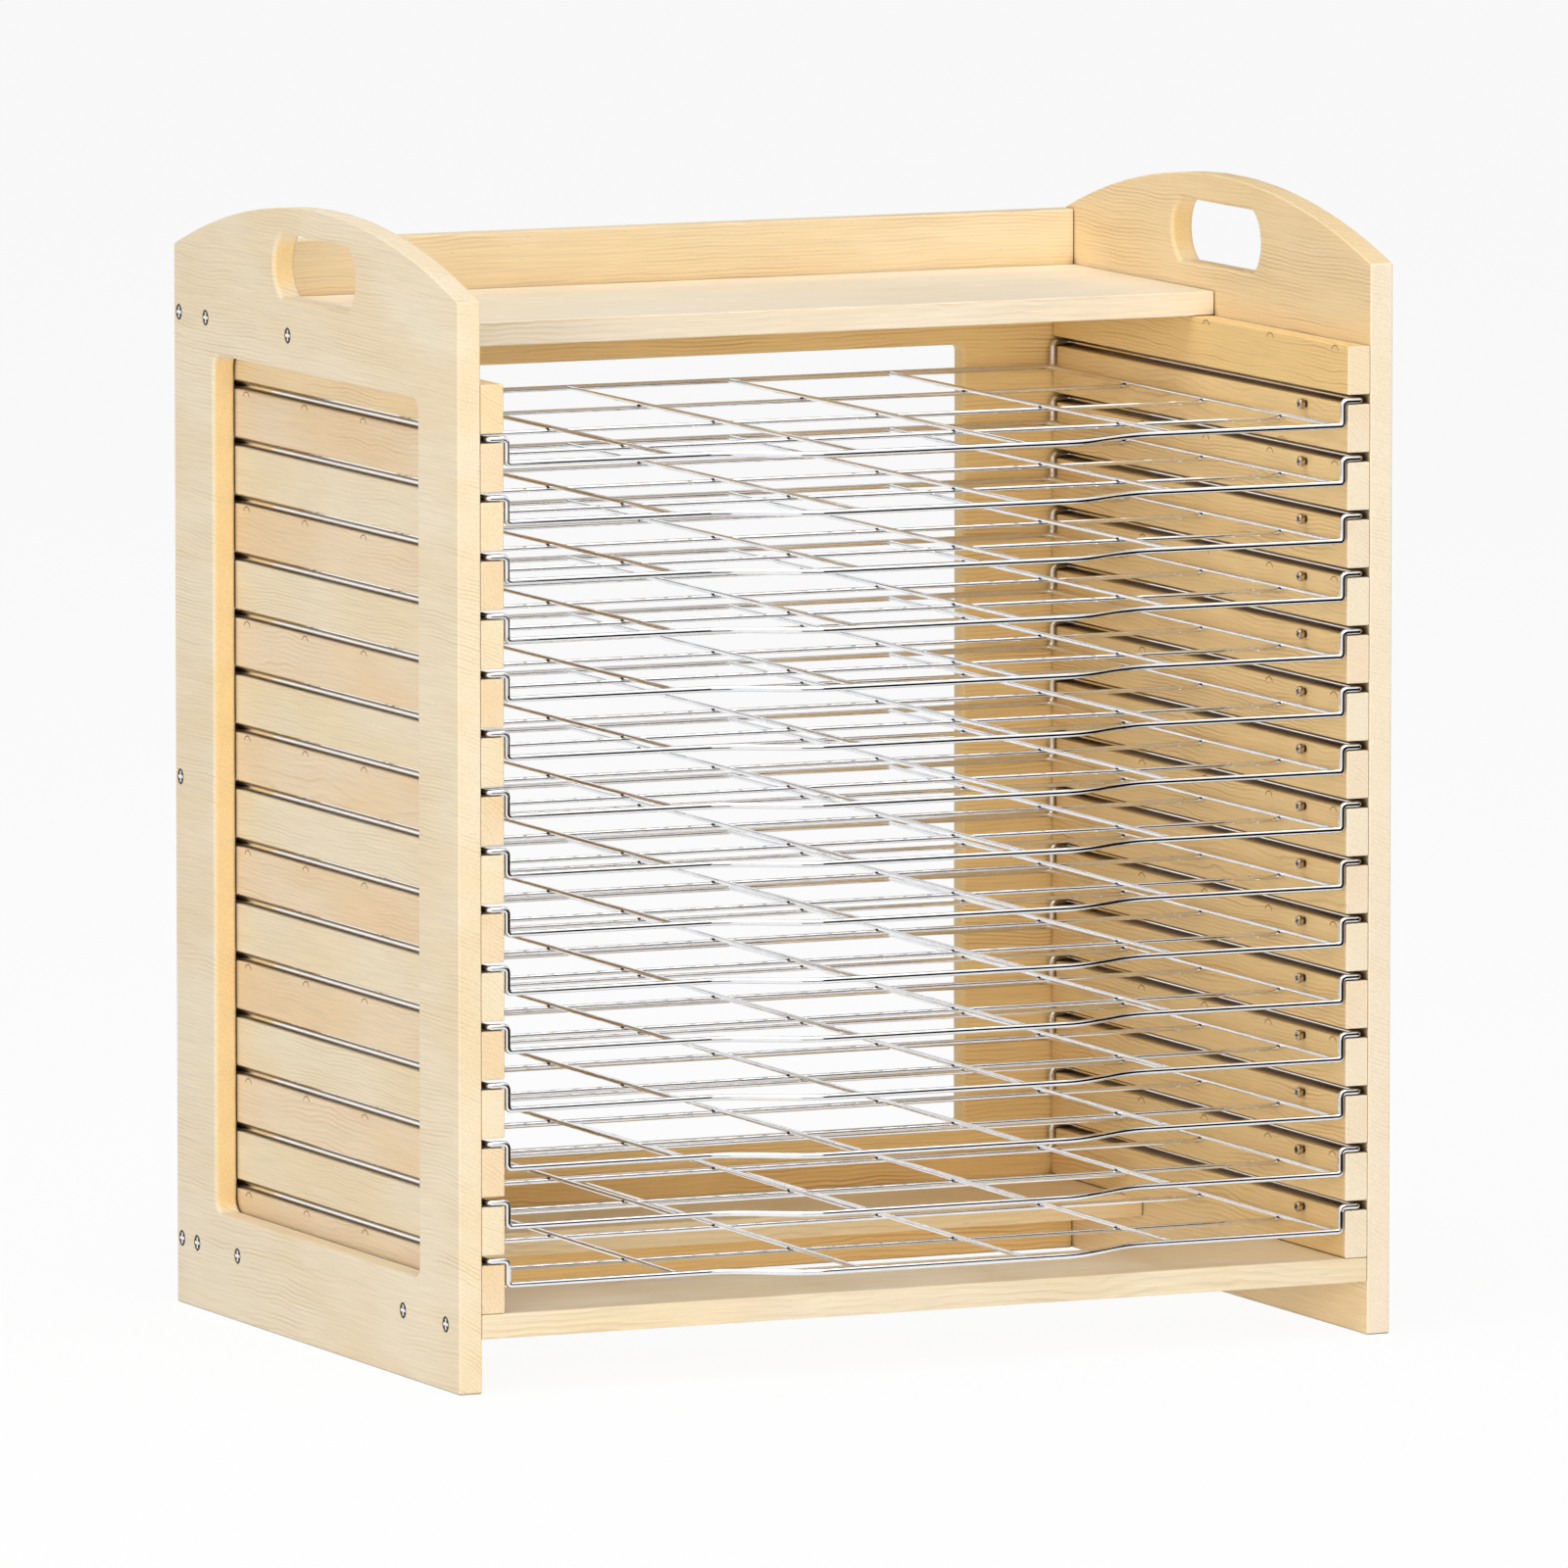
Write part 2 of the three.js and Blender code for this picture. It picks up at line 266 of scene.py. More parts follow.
# a small squashed bead, for the welds at the wire ends and the dark beads beside the crossings
def addBead(parts, centre, radii, finish=0, sides=8, bands=5):
    rings = []
    for k in range(bands):
        angle = math.pi * (k + 0.5) / bands - math.pi / 2
        points, normals = [], []
        for i in range(sides):
            turn = 2 * math.pi * i / sides
            way = Vector((math.cos(angle) * math.cos(turn), math.cos(angle) * math.sin(turn), math.sin(angle)))
            points.append(centre + Vector(w * r for w, r in zip(way, radii)))
            normals.append(Vector(w / r for w, r in zip(way, radii)).normalized())
        rings.append((addPoints(parts, points), normals))
    joinRings(parts, rings, finish=finish)
    addFace(parts, list(reversed(rings[0][0])), [Vector((0, 0, -1))] * sides, finish)
    addFace(parts, rings[-1][0], [Vector((0, 0, 1))] * sides, finish)


# shader helpers
def srgb(red, green, blue):
    def linear(value):
        value /= 255
        return value / 12.92 if value <= 0.04045 else ((value + 0.055) / 1.055) ** 2.4
    return (linear(red), linear(green), linear(blue), 1)


def feed(tree, socket, value):
    if isinstance(value, bpy.types.NodeSocket):
        tree.links.new(value, socket)
    else:
        socket.default_value = value


def calc(tree, operation, *values, clamp=False):
    made = tree.nodes.new("ShaderNodeMath")
    made.operation = operation
    made.use_clamp = clamp
    for socket, value in zip(made.inputs, values):
        feed(tree, socket, value)
    return made.outputs[0]


def stretch(tree, vector, scale):
    made = tree.nodes.new("ShaderNodeVectorMath")
    made.operation = "MULTIPLY"
    feed(tree, made.inputs[0], vector)
    made.inputs[1].default_value = scale
    return made.outputs[0]


def noise(tree, vector, scale=1, detail=2, roughness=0.5, distortion=0):
    made = tree.nodes.new("ShaderNodeTexNoise")
    feed(tree, made.inputs["Vector"], vector)
    made.inputs["Scale"].default_value = scale
    made.inputs["Detail"].default_value = detail
    made.inputs["Roughness"].default_value = roughness
    made.inputs["Distortion"].default_value = distortion
    return made.outputs[0]


def spread(tree, value, low, high, toLow=0, toHigh=1):
    made = tree.nodes.new("ShaderNodeMapRange")
    made.interpolation_type = "SMOOTHSTEP"
    feed(tree, made.inputs["Value"], value)
    made.inputs["From Min"].default_value = low
    made.inputs["From Max"].default_value = high
    made.inputs["To Min"].default_value = toLow
    made.inputs["To Max"].default_value = toHigh
    return made.outputs[0]


def blendColour(tree, amount, first, second, mode="MIX"):
    made = tree.nodes.new("ShaderNodeMix")
    made.data_type = "RGBA"
    made.blend_type = mode
    feed(tree, made.inputs[0], amount)
    feed(tree, made.inputs[6], first)
    feed(tree, made.inputs[7], second)
    return made.outputs[2]


def newGroup(name, inputs, outputs):
    tree = bpy.data.node_groups.new(name, "ShaderNodeTree")
    for label, kind, default in inputs:
        socket = tree.interface.new_socket(label, in_out="INPUT", socket_type=kind)
        if default is not None:
            socket.default_value = default
    for label, kind in outputs:
        tree.interface.new_socket(label, in_out="OUTPUT", socket_type=kind)
    return tree, tree.nodes.new("NodeGroupInput").outputs, tree.nodes.new("NodeGroupOutput").inputs


def placeGroup(tree, group, **values):
    made = tree.nodes.new("ShaderNodeGroup")
    made.node_tree = group
    for label, value in values.items():
        feed(tree, made.inputs[label], value)
    return made.outputs


def newMaterial(name):
    material = bpy.data.materials.new(name)
    material.use_nodes = True
    tree = material.node_tree
    return material, tree, tree.nodes["Principled BSDF"].inputs


def objectValue(tree, name):
    made = tree.nodes.new("ShaderNodeAttribute")
    made.attribute_type = "OBJECT"
    made.attribute_name = name
    return made.outputs["Fac"]


def boardSpace(tree):
    return tree.nodes.new("ShaderNodeTexCoord").outputs["Object"]


# growth rings about a pith that lies off the board, fibres along it, pin flecks and slow tone changes
def makeGrainGroup():
    number = "NodeSocketFloat"
    tree, given, put = newGroup(
        "boardGrain",
        [("Vector", "NodeSocketVector", None), ("Seed", number, 0.0), ("Ring pitch", number, 2.6),
         ("Pith across", number, 260.0), ("Pith below", number, 40.0), ("Sway", number, 9.0)],
        [("Rings", number), ("Fibre", number), ("Fleck", number), ("Mottle", number)],
    )
    offset = tree.nodes.new("ShaderNodeCombineXYZ")
    for axis, reach in zip("XYZ", (911.0, 137.0, 53.0)):
        feed(tree, offset.inputs[axis], calc(tree, "MULTIPLY", given["Seed"], reach))
    inMm = stretch(tree, given["Vector"], (1000, 1000, 1000))
    moved = tree.nodes.new("ShaderNodeVectorMath")
    moved.operation = "ADD"
    feed(tree, moved.inputs[0], inMm)
    feed(tree, moved.inputs[1], offset.outputs[0])
    place = moved.outputs[0]
    split = tree.nodes.new("ShaderNodeSeparateXYZ")
    feed(tree, split.inputs[0], inMm)

    swayA = noise(tree, stretch(tree, place, (0.009, 0.012, 0.012)), detail=1)
    swayB = noise(tree, stretch(tree, place, (0.03, 0.05, 0.05)), detail=2)
    sway = calc(tree, "MULTIPLY_ADD", swayB, 0.35, swayA)
    sway = calc(tree, "MULTIPLY", calc(tree, "SUBTRACT", sway, 0.67), given["Sway"])
    shift = calc(tree, "MULTIPLY", calc(tree, "SUBTRACT", given["Seed"], 0.5), 90.0)
    across = calc(tree, "ADD", split.outputs["Y"], given["Pith across"])
    across = calc(tree, "ADD", across, calc(tree, "ADD", sway, shift))
    below = calc(tree, "ADD", calc(tree, "ADD", split.outputs["Z"], given["Pith below"]), sway)
    distance = calc(tree, "SQRT", calc(tree, "ADD", calc(tree, "POWER", across, 2.0), calc(tree, "POWER", below, 2.0)))
    count = calc(tree, "DIVIDE", distance, given["Ring pitch"])
    part = calc(tree, "FRACT", count)
    late = calc(tree, "MULTIPLY", spread(tree, part, 0.35, 0.9), spread(tree, part, 1.0, 0.94))
    strength = tree.nodes.new("ShaderNodeTexWhiteNoise")
    strength.noise_dimensions = "1D"
    feed(tree, strength.inputs["W"], calc(tree, "FLOOR", count))
    uneven = calc(tree, "MULTIPLY_ADD", strength.outputs["Value"], 0.75, 0.25)
    patch = spread(tree, noise(tree, stretch(tree, place, (0.012, 0.03, 0.03)), detail=2), 0.36, 0.7, 0.16, 1)
    feed(tree, put["Rings"], calc(tree, "MULTIPLY", calc(tree, "MULTIPLY", late, uneven), patch))

    feed(tree, put["Fibre"], noise(tree, stretch(tree, place, (0.026, 0.9, 0.9)), detail=5, roughness=0.66))
    specks = noise(tree, stretch(tree, place, (0.16, 1.7, 1.7)), detail=1)
    feed(tree, put["Fleck"], spread(tree, specks, 0.72, 0.8))
    feed(tree, put["Mottle"], noise(tree, stretch(tree, place, (0.008, 0.022, 0.022)), detail=2))
    return tree


# faint smears of handling on plated metal
def makeHazeGroup():
    number = "NodeSocketFloat"
    tree, given, put = newGroup(
        "platingHaze",
        [("Vector", "NodeSocketVector", None), ("Low", number, 0.05), ("High", number, 0.16)],
        [("Roughness", number), ("Tint", number)],
    )
    place = stretch(tree, given["Vector"], (1000, 1000, 1000))
    smear = noise(tree, stretch(tree, place, (0.05, 0.05, 0.05)), detail=3)
    fine = noise(tree, stretch(tree, place, (0.9, 0.9, 0.9)), detail=2)
    mixed = calc(tree, "MULTIPLY_ADD", fine, 0.35, calc(tree, "MULTIPLY", smear, 0.65))
    amount = spread(tree, mixed, 0.35, 0.68)
    span = calc(tree, "SUBTRACT", given["High"], given["Low"])
    feed(tree, put["Roughness"], calc(tree, "MULTIPLY_ADD", amount, span, given["Low"]))
    feed(tree, put["Tint"], amount)
    return tree


boardGrain = makeGrainGroup()
platingHaze = makeHazeGroup()

woodFinishes = {
    "boardWood": {"early": (244, 229, 201), "late": (222, 195, 150), "warm": (240, 218, 180),
                  "pitch": 2.1, "across": 300.0, "below": 200.0, "sway": 8.0, "rough": 0.5},
    "paleSlatWood": {"early": (243, 228, 199), "late": (226, 201, 158), "warm": (241, 219, 178),
                     "pitch": 1.9, "across": 90.0, "below": 44.0, "sway": 11.0, "rough": 0.5},
    "warmSlatWood": {"early": (242, 220, 188), "late": (222, 190, 144), "warm": (239, 208, 164),
                     "pitch": 2.3, "across": 60.0, "below": 36.0, "sway": 13.0, "rough": 0.5},
}
woodTones = {"golden": (247, 211, 144), "goldenLate": (205, 156, 94), "pale": (250, 239, 220), "nookShade": (62, 38, 19)}
halfBoard = 6.35 * mm


def makeWood(name, finish):
    material, tree, shader = newMaterial(name)
    space = boardSpace(tree)
    grain = placeGroup(tree, boardGrain, **{
        "Vector": space, "Seed": objectValue(tree, "grainSeed"), "Ring pitch": finish["pitch"],
        "Pith across": finish["across"], "Pith below": finish["below"], "Sway": finish["sway"],
    })
    mottle = spread(tree, grain["Mottle"], 0.32, 0.68, 0, 0.8)
    colour = blendColour(tree, mottle, srgb(*finish["early"]), srgb(*finish["warm"]))
    along = tree.nodes.new("ShaderNodeSeparateXYZ")
    feed(tree, along.inputs[0], space)
    # painted shade: faces towards the inside of the rack, under the shelf, are given a deeper golden tone
    fromMiddle = calc(tree, "SUBTRACT", along.outputs["Z"], halfBoard)
    inward = calc(tree, "MULTIPLY", fromMiddle, objectValue(tree, "innerSide"))
    insideShade = calc(tree, "MULTIPLY", objectValue(tree, "innerTone"), spread(tree, inward, -1 * mm, 1 * mm))
    insideShade = calc(tree, "MULTIPLY", insideShade, spread(tree, along.outputs["Y"], 0.5, 0.54, 1, 0))
    insideShade = calc(tree, "MULTIPLY", insideShade, spread(tree, along.outputs["X"], 1 * mm, 3 * mm))
    tone = calc(tree, "ADD", objectValue(tree, "woodTone"), insideShade)
    golden = calc(tree, "MAXIMUM", tone, 0.0)
    colour = blendColour(tree, golden, colour, srgb(*woodTones["golden"]))
    # a negative tone pales the board: painted light on the top shelf
    paleShift = calc(tree, "MAXIMUM", calc(tree, "MULTIPLY", tone, -1.0), 0.0)
    colour = blendColour(tree, paleShift, colour, srgb(*woodTones["pale"]))
    late = blendColour(tree, golden, srgb(*finish["late"]), srgb(*woodTones["goldenLate"]))
    colour = blendColour(tree, calc(tree, "MULTIPLY", grain["Rings"], 0.9), colour, late)
    # painted light and shade: for each board, edgeTone makes the faces towards the front paler or more golden
    frontEdge = spread(tree, along.outputs["X"], 0.3 * mm, 1.4 * mm, 1, 0)
    edgeTone = calc(tree, "MULTIPLY", objectValue(tree, "edgeTone"), frontEdge)
    colour = blendColour(tree, calc(tree, "MAXIMUM", edgeTone, 0.0), colour, srgb(*woodTones["pale"]))
    edgeGolden = calc(tree, "MAXIMUM", calc(tree, "MULTIPLY", edgeTone, -1.0), 0.0)
    colour = blendColour(tree, edgeGolden, colour, srgb(*woodTones["golden"]))
    facing = tree.nodes.new("ShaderNodeSeparateXYZ")
    feed(tree, facing.inputs[0], tree.nodes.new("ShaderNodeTexCoord").outputs["Normal"])
    # painted shade: the cut-end faces inside the openings are tinted golden
    endFaceShade = spread(tree, calc(tree, "ABSOLUTE", facing.outputs["X"]), 0.6, 0.95, 0, 0.75)
    endFaceShade = calc(tree, "MULTIPLY", endFaceShade, spread(tree, along.outputs["X"], 2 * mm, 4 * mm))
    colour = blendColour(tree, endFaceShade, colour, srgb(*woodTones["golden"]))
    shade = spread(tree, grain["Fibre"], 0.25, 0.75, 0.915, 1.05)
    dark = calc(tree, "MULTIPLY", shade, calc(tree, "MULTIPLY_ADD", grain["Fleck"], -0.22, 1.0))
    grey = tree.nodes.new("ShaderNodeCombineColor")
    for channel in ("Red", "Green", "Blue"):
        feed(tree, grey.inputs[channel], dark)
    colour = blendColour(tree, 1.0, colour, grey.outputs[0], "MULTIPLY")
    # painted shade: crevices such as the slots between the slats are darkened towards a dark brown by an
    # ambient-occlusion mask
    nookShade = tree.nodes.new("ShaderNodeAmbientOcclusion")
    nookShade.samples = 6
    nookShade.inputs["Distance"].default_value = 8 * mm
    creviceShade = spread(tree, nookShade.outputs["AO"], 0.06, 0.5, 0.94, 0)
    colour = blendColour(tree, creviceShade, colour, srgb(*woodTones["nookShade"]))
    feed(tree, shader["Base Color"], colour)
    feed(tree, shader["Roughness"], calc(tree, "MULTIPLY_ADD", grain["Rings"], -0.1, finish["rough"]))
    height = calc(tree, "MULTIPLY_ADD", grain["Fibre"], 0.5, calc(tree, "MULTIPLY", grain["Rings"], -0.6))
    bump = tree.nodes.new("ShaderNodeBump")
    bump.inputs["Strength"].default_value = 0.4
    bump.inputs["Distance"].default_value = 0.12 * mm
    feed(tree, bump.inputs["Height"], height)
    feed(tree, shader["Normal"], bump.outputs[0])
    shader["Specular IOR Level"].default_value = 0.35
    return material


def makePlating(name, colour, haze, low, high):
    material, tree, shader = newMaterial(name)
    smears = placeGroup(tree, platingHaze, Vector=boardSpace(tree), Low=low, High=high)
    feed(tree, shader["Base Color"], blendColour(tree, smears["Tint"], srgb(*colour), srgb(*haze)))
    feed(tree, shader["Roughness"], smears["Roughness"])
    shader["Metallic"].default_value = 1
    return material


def makeCutMark():
    material, tree, shader = newMaterial("cutMark")
    blotch = noise(tree, stretch(tree, boardSpace(tree), (900, 900, 900)), detail=2)
    feed(tree, shader["Base Color"], blendColour(tree, blotch, srgb(172, 124, 78), srgb(122, 82, 48)))
    shader["Roughness"].default_value = 0.7
    return material


woods = {name: makeWood(name, finish) for name, finish in woodFinishes.items()}
chromeWire = makePlating("chromeWire", (242, 243, 245), (230, 231, 234), 0.03, 0.09)
screwSteel = makePlating("screwSteel", (206, 190, 170), (168, 150, 128), 0.12, 0.24)
darkScrew = makePlating("darkScrew", (66, 59, 53), (44, 39, 35), 0.34, 0.5)
# painted highlight: the cross recess of the panel screws is made bright white metal
brightRecess = makePlating("brightRecess", (250, 250, 250), (236, 236, 236), 0.25, 0.4)
# dark metal for the beads beside the crossings; on the stop screws it is painted shade on the shank and in the cross
# recess
darkBeadAndScrewShade = makePlating("darkBeadAndScrewShade", (84, 79, 74), (52, 48, 45), 0.35, 0.55)
cutMark = makeCutMark()
print("materials made:", len(bpy.data.materials))

# where the CAD puts the boards
panelLow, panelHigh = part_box("left_side_panel")
slatLow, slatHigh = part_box("right_slat_01")
backLow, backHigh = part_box("back_panel")
boardThickness = panelHigh.x - panelLow.x
panelDepth = panelHigh.y - panelLow.y
shoulder = backHigh.z

# u runs along the grain, v across it and w through the board
depthUpAcross = Matrix(((0, 0, 1), (1, 0, 0), (0, 1, 0)))
widthUpForward = Matrix(((1, 0, 0), (0, 0, -1), (0, 1, 0)))
widthDepthUp = Matrix.Identity(3)


def placeAt(axes, corner):
    return Matrix.Translation(corner) @ axes.to_4x4()


def finishBoard(made, node, seed, tone, edgeTone=0.0):
    made["grainSeed"] = seed
    made["woodTone"] = tone
    made["edgeTone"] = edgeTone
    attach(made, "rack")
    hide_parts(node)
    return made


sidePanel = {
    "edge": 0.9 * mm, "corner": 1.2 * mm, "archRise": panelHigh.z - shoulder, "archSteps": 60,
    "stile": 52 * mm, "rail": 54 * mm, "windowCorner": 7 * mm, "softEdge": 2.4 * mm,
    "slotLength": 106 * mm, "slotHeight": 33 * mm, "slotBulge": 10 * mm, "slotCorner": 2.5 * mm,
    "holeRadius": 4.25 * mm, "holeDepth": 2.6 * mm,
}

# screws on each side panel: from the rear edge and above the floor
panelScrews = [
    (6.4, 522.5), (6.4, 278.3), (6.4, 34.4), (42, 522.5), (150.8, 522.5),
    (26.7, 34.4), (80.7, 34.4), (297.7, 34.4), (352.3, 34.4),
]


def panelOutlines():
    s = sidePanel
    half = panelDepth / 2
    radius = (half ** 2 + s["archRise"] ** 2) / (2 * s["archRise"])
    reach = math.asin(half / radius)
    top = arcPoints(half, panelHigh.z - radius, radius, math.pi / 2 - reach, math.pi / 2 + reach, s["archSteps"])
    outer = softOutline([(0, 0), (panelDepth, 0)] + top, s["corner"])
    width, height = panelDepth - 2 * s["stile"], shoulder - 2 * s["rail"]
    window = rectangle(width, height, s["windowCorner"], s["stile"], s["rail"], 8)
    rise = s["slotHeight"] / 2
    endRadius = (rise ** 2 + s["slotBulge"] ** 2) / (2 * s["slotBulge"])
    endReach = math.asin(rise / endRadius)
    endCentre = s["slotLength"] / 2 - endRadius
    ends = arcPoints(half + endCentre, shoulder, endRadius, -endReach, endReach, 20)
    ends += arcPoints(half - endCentre, shoulder, endRadius, math.pi - endReach, math.pi + endReach, 20)
    grip = softOutline(ends, s["slotCorner"], 6)
    return outer, window, grip


def makeSidePanel(name, node, corner, outerSide, seed, tone, edgeTone):
    s = sidePanel
    outer, window, grip = panelOutlines()
    loops = [
        {"outline": outer, "edge": s["edge"]},
        {"outline": asHole(window), "edge": s["softEdge"]},
        {"outline": asHole(grip), "edge": s["softEdge"]},
    ]
    pockets = [
        {"outline": circle(s["holeRadius"], 24, panelDepth - back * mm, up * mm), "depth": s["holeDepth"],
         "taper": 0.98, "side": outerSide, "finish": 0}
        for back, up in panelScrews
    ]
    parts = newParts()
    addBoard(parts, loops, boardThickness, pockets, edgeSteps=5)
    made = makeObject(name, parts, [woods["boardWood"]], placeAt(depthUpAcross, corner))
    return finishBoard(made, node, seed, tone, edgeTone)


makeSidePanel("leftSidePanel", "left_side_panel", panelLow, "low", 0.31, 0.0, -0.1)
# the right panel's golden tone is painted shade for its face towards the inside, and its paler front edge is painted
# light
makeSidePanel("rightSidePanel", "right_side_panel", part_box("right_side_panel")[0], "high", 0.74, 0.5, 0.6)

backPanel = {
    "edge": 0.9 * mm, "corner": 1.1 * mm, "stile": 65 * mm, "rail": 70 * mm,
    "windowCorner": 4 * mm, "softEdge": 2 * mm,
}


def makeBackPanel():
    s = backPanel
    width, height = backHigh.x - backLow.x, backHigh.z - backLow.z
    openWidth, openHeight = width - 2 * s["stile"], height - 2 * s["rail"]
    window = rectangle(openWidth, openHeight, s["windowCorner"], s["stile"], s["rail"], 8)
    loops = [
        {"outline": rectangle(width, height, s["corner"]), "edge": s["edge"]},
        {"outline": asHole(window), "edge": s["softEdge"]},
    ]
    parts = newParts()
    addBoard(parts, loops, backHigh.y - backLow.y, edgeSteps=5)
    corner = Vector((backLow.x, backHigh.y, backLow.z))
    made = makeObject("backPanel", parts, [woods["boardWood"]], placeAt(widthUpForward, corner))
    # the deeper tone on the back panel's inner face is painted shade for the inside of the rack
    made["innerTone"], made["innerSide"] = 0.7, 1.0
    return finishBoard(made, "back_panel", 0.52, 0.24)


makeBackPanel()

plainBoard = {"edge": 0.8 * mm, "corner": 0.9 * mm}


def makeLevelBoard(name, node, seed, tone):
    low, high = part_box(node)
    size = high - low
    parts = newParts()
    outline = rectangle(size.x, size.y, plainBoard["corner"])
    addBoard(parts, [{"outline": outline, "edge": plainBoard["edge"]}], size.z)
    made = makeObject(name, parts, [woods["boardWood"]], placeAt(widthDepthUp, low))
    return finishBoard(made, node, seed, tone)


# the top shelf is toned paler, painted light for the strong light on its top
makeLevelBoard("topShelf", "top_shelf", 0.18, -0.45)
makeLevelBoard("frontBottomRail", "front_bottom_rail", 0.87, 0.1)
# the rear rail's golden tone is painted shade, deep inside the rack
makeLevelBoard("rearBottomRail", "rear_bottom_rail", 0.44, 0.5)
print("frame boards made")

slatCount = sum(name.startswith("left_slat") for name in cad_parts)


# every second slat shows bowed cuts near its top edge, on the face towards the left
slatSides = {
    # innerTone is painted shade, a golden tone on the faces towards the inside; edgeTone is painted light and shade on
    # the front ends, paler on the right and more golden on the left
    "left": {"seed": 0.0, "tone": 0.03, "edgeTone": -0.1, "innerTone": 0.8, "innerSide": 1.0,
             "cutOn": 0, "cuts": (150.3, 226.9, 303.7)},
    "right": {"seed": 0.29, "tone": 0.15, "edgeTone": 0.4, "innerTone": 0.7, "innerSide": -1.0,
             "cutOn": 1, "cuts": (15.7, 92.3, 168.9, 245.5)},
}
slatCut = {"halfWidth": 3.8 * mm, "rise": 2.5 * mm, "below": 3.1 * mm, "radius": 0.3 * mm, "sunk": 0.1 * mm,
           "steps": 12}
slatThickness = slatHigh.x - slatLow.x
topSlatTone = 0.45  # the top slat on each side is given a more golden tone


def makeSlat(side, number):
    s = slatSides[side]
    node = f"{side}_slat_{number:02d}"
    low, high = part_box(node)
    depth, height = high.y - low.y, high.z - low.z
    parts = newParts()
    outline = rectangle(depth, height, plainBoard["corner"])
    addBoard(parts, [{"outline": outline, "edge": plainBoard["edge"]}], slatThickness)
    if number % 2 == s["cutOn"]:
        for along in s["cuts"]:
            path = []
            for k in range(slatCut["steps"] + 1):
                angle = math.pi * (1 - k / slatCut["steps"])
                across = along * mm + slatCut["halfWidth"] * math.cos(angle)
                up = height - slatCut["below"] + slatCut["rise"] * math.sin(angle)
                path.append(Vector((across, up, slatCut["sunk"])))
            first = len(parts["faces"])
            addWire(parts, path, slatCut["radius"], 6)
            parts["finishes"][first:] = [1] * (len(parts["faces"]) - first)
    kind = "pale" if number % 2 else "warm"
    corner = Vector((low.x if side == "left" else high.x - slatThickness, low.y, low.z))
    materials = [woods[kind + "SlatWood"], cutMark]
    made = makeObject(f"{side}Slat{number:02d}", parts, materials, placeAt(depthUpAcross, corner))
    made["innerTone"], made["innerSide"] = s["innerTone"], s["innerSide"]
    tone = s["tone"] + (topSlatTone if number == 1 else 0)
    finishBoard(made, node, (number * 0.381966 + s["seed"]) % 1, tone, s["edgeTone"])


for side in slatSides:
    for number in range(1, slatCount + 1):
        makeSlat(side, number)
print("slats made:", 2 * slatCount)

panelScrew = {"radius": 4.0 * mm, "thickness": 2.3 * mm, "edge": 0.35 * mm, "sunk": 0.12 * mm,
              "crossReach": 2.9 * mm, "crossArm": 0.75 * mm, "crossDepth": 1.2 * mm, "taper": 0.6}


def screwHead(parts, s, place=None):
    cross = {"outline": crossOutline(s["crossReach"], s["crossArm"]), "depth": s["crossDepth"],
             "taper": s["taper"], "side": "high", "finish": 1}
    loops = [{"outline": circle(s["radius"], 28), "edge": s["edge"]}]
    addBoard(parts, loops, s["thickness"], [cross], place=place)


def makePanelScrews():
    parts = newParts()
    screwHead(parts, panelScrew)
    data = None
    for side, sign in (("left", -1), ("right", 1)):
        face = sign * panelLow.x * -1
        outward = Matrix.Rotation(sign * math.pi / 2, 4, "Y")
        for number, (back, up) in enumerate(panelScrews, 1):
            depth = panelScrew["thickness"] + panelScrew["sunk"]
            spot = Vector((face - sign * depth, panelHigh.y - back * mm, up * mm))
            place = Matrix.Translation(spot) @ outward
            made = makeObject(f"{side}PanelScrew{number}", parts, [darkScrew, brightRecess], place, data)
            data = made.data
            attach(made, "rack")


makePanelScrews()

stopScrew = {"radius": 2.7 * mm, "thickness": 3.0 * mm, "edge": 0.7 * mm,
             "crossReach": 1.75 * mm, "crossArm": 0.45 * mm, "crossDepth": 1.2 * mm, "taper": 0.55,
             "shankRadius": 1.9 * mm, "shankEdge": 0.1 * mm, "shankGrip": 0.4 * mm, "projection": 4.5 * mm,
             "seat": 1.0 * mm, "setback": 49.5 * mm, "belowEdge": 1.1 * mm, "turn": 0.61}


def makeStopScrews():
    s = stopScrew
    parts = newParts()
    screwHead(parts, s, Matrix.Translation((0, 0, s["projection"] - s["thickness"])))
    # painted shade: the shank and the cross recess take the dark metal, standing in for the threads and the hollow of
    # the recess
    shank = [{"outline": circle(s["shankRadius"], 20), "edge": s["shankEdge"]}]
    first = len(parts["faces"])
    length = s["seat"] + s["projection"] - s["thickness"] + s["shankGrip"]
    addBoard(parts, shank, length, place=Matrix.Translation((0, 0, -s["seat"])))
    parts["finishes"][first:] = [1] * (len(parts["faces"]) - first)
    data = None
    for side, sign in (("left", 1), ("right", -1)):
        inward = Matrix.Rotation(sign * math.pi / 2, 4, "Y")
        for number in range(2, slatCount + 1):
            low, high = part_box(f"{side}_slat_{number:02d}")
            face = sign * -slatLow.x
            spot = Vector((face, low.y + s["setback"], high.z - s["belowEdge"] - s["radius"]))
            lean = Matrix.Rotation(s["turn"] * number, 4, "Z")
            place = Matrix.Translation(spot) @ inward @ lean
            made = makeObject(f"{side}StopScrew{number:02d}", parts, [screwSteel, darkBeadAndScrewShade], place, data)
            data = made.data
            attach(made, "rack")


makeStopScrews()
print("screws made")

